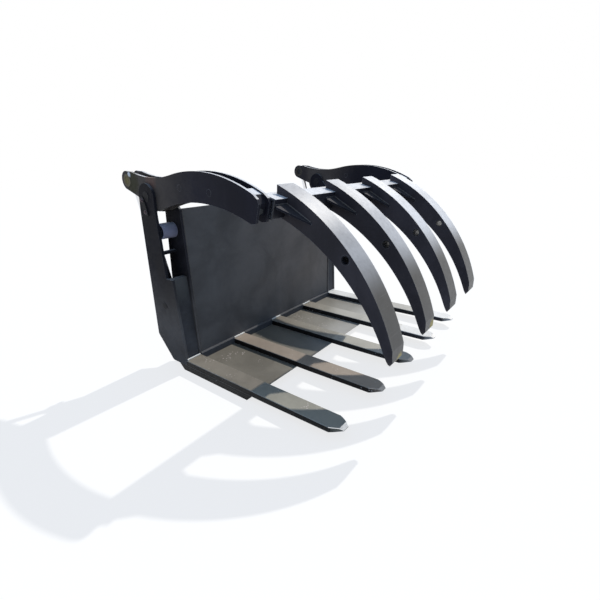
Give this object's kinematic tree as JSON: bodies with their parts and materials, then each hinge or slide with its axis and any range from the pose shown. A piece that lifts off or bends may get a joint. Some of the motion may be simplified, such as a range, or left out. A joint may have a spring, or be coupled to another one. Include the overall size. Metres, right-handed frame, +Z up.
{
  "type": "log grapple",
  "caption": "Loader log grapple: flat tines on a floor plate, side frames, and a clamp of curved claws on two arms closed by hydraulic cylinders.",
  "frame": {"origin": "on the ground below the back plate's front face, at the mid-plane between the side frames", "axes": "+X to the grapple's right across its width, -Y the way the tines point, +Z up"},
  "size_m": [2.174, 2.0529, 1.4699],
  "materials": {
    "frame_paint": "worn dark grey paint, dusty",
    "clamp_steel": "worn grey paint, scuffed bright along its edges",
    "tine_steel": "bare and dusty steel with a few paint remnants at the points",
    "floor_steel": "worn steel sheet under brown dust",
    "weld_metal": "ground fillet weld",
    "pin_steel": "machined steel, greased",
    "bolt_steel": "zinc plated, dull",
    "bush_bronze": "greasy bronze",
    "rod_chrome": "hard chrome",
    "cylinder_paint": "black paint"
  },
  "bodies": {
    "frame": {"back_plate": "frame_paint", "back_ribs": "frame_paint", "floor_plate": "floor_steel", "floor_runners": "floor_steel", "foot_pin_ends": "pin_steel", "keeper_bolts": "bolt_steel", "left_front_cover": "frame_paint", "left_inner_side_plate": "frame_paint", "left_lower_lugs": "frame_paint", "left_outer_side_plate": "frame_paint", "lip_bar": "floor_steel", "lug_bushes": "bush_bronze", "pin_keepers": "pin_steel", "pivot_pins": "pin_steel", "rear_beam": "frame_paint", "rear_sill": "floor_steel", "right_front_cover": "frame_paint", "right_inner_side_plate": "frame_paint", "right_lower_lugs": "frame_paint", "right_outer_side_plate": "frame_paint", "tie_bars": "frame_paint", "tine_1": "tine_steel", "tine_2": "tine_steel", "tine_3": "tine_steel", "tine_4": "tine_steel", "tine_5": "tine_steel", "tine_root_welds": "weld_metal", "toe_strips": "floor_steel", "upper_cross_member": "frame_paint", "upper_lugs": "frame_paint"},
    "clamp": {"arm_hubs": "clamp_steel", "arm_nose_blocks": "clamp_steel", "arm_spacers": "clamp_steel", "claw_1": "clamp_steel", "claw_2": "clamp_steel", "claw_3": "clamp_steel", "claw_4": "clamp_steel", "claw_gussets": "clamp_steel", "claw_sleeves": "clamp_steel", "cross_tube": "clamp_steel", "ear_bushes": "bush_bronze", "ear_pins": "pin_steel", "left_arm_inner_plate": "clamp_steel", "left_arm_outer_plate": "clamp_steel", "nose_bolts": "bolt_steel", "right_arm_inner_plate": "clamp_steel", "right_arm_outer_plate": "clamp_steel"},
    "left_rod": {"left_cylinder_rod": "rod_chrome", "left_cylinder_piston": "pin_steel"},
    "left_barrel": {"left_cylinder_barrel": "cylinder_paint", "left_cylinder_gland": "cylinder_paint", "left_foot_pin": "pin_steel"},
    "right_rod": {"right_cylinder_rod": "rod_chrome", "right_cylinder_piston": "pin_steel"},
    "right_barrel": {"right_cylinder_barrel": "cylinder_paint", "right_cylinder_gland": "cylinder_paint", "right_foot_pin": "pin_steel"}
  },
  "joints": [
    {"name": "clamp_swing", "type": "hinge", "parent": "frame", "child": "clamp", "pos_m": [0, 0.162, 1.31], "axis": [-1, 0, 0], "range_deg": [-15, 65]},
    {"name": "left_rod_hinge", "type": "hinge", "parent": "clamp", "child": "left_rod", "pos_m": [-0.995, 0.408, 1.408], "axis": [-1, 0, 0], "range_deg": [-60.62, 14.38]},
    {"name": "left_barrel_slide", "type": "slide", "parent": "left_rod", "child": "left_barrel", "axis": [0, -0.269, -0.9631], "range_m": [-0.2754, 0.0651]},
    {"name": "right_rod_hinge", "type": "hinge", "parent": "clamp", "child": "right_rod", "pos_m": [0.995, 0.408, 1.408], "axis": [-1, 0, 0], "range_deg": [-60.62, 14.38]},
    {"name": "right_barrel_slide", "type": "slide", "parent": "right_rod", "child": "right_barrel", "axis": [0, -0.269, -0.9631], "range_m": [-0.2754, 0.0651]}
  ],
  "couplings": [
    {"joint": "left_rod_hinge", "follows": "clamp_swing", "ratio": -0.925},
    {"joint": "left_barrel_slide", "follows": "clamp_swing", "m_per_rad": -0.241},
    {"joint": "right_rod_hinge", "follows": "clamp_swing", "ratio": -0.925},
    {"joint": "right_barrel_slide", "follows": "clamp_swing", "m_per_rad": -0.241}
  ]
}
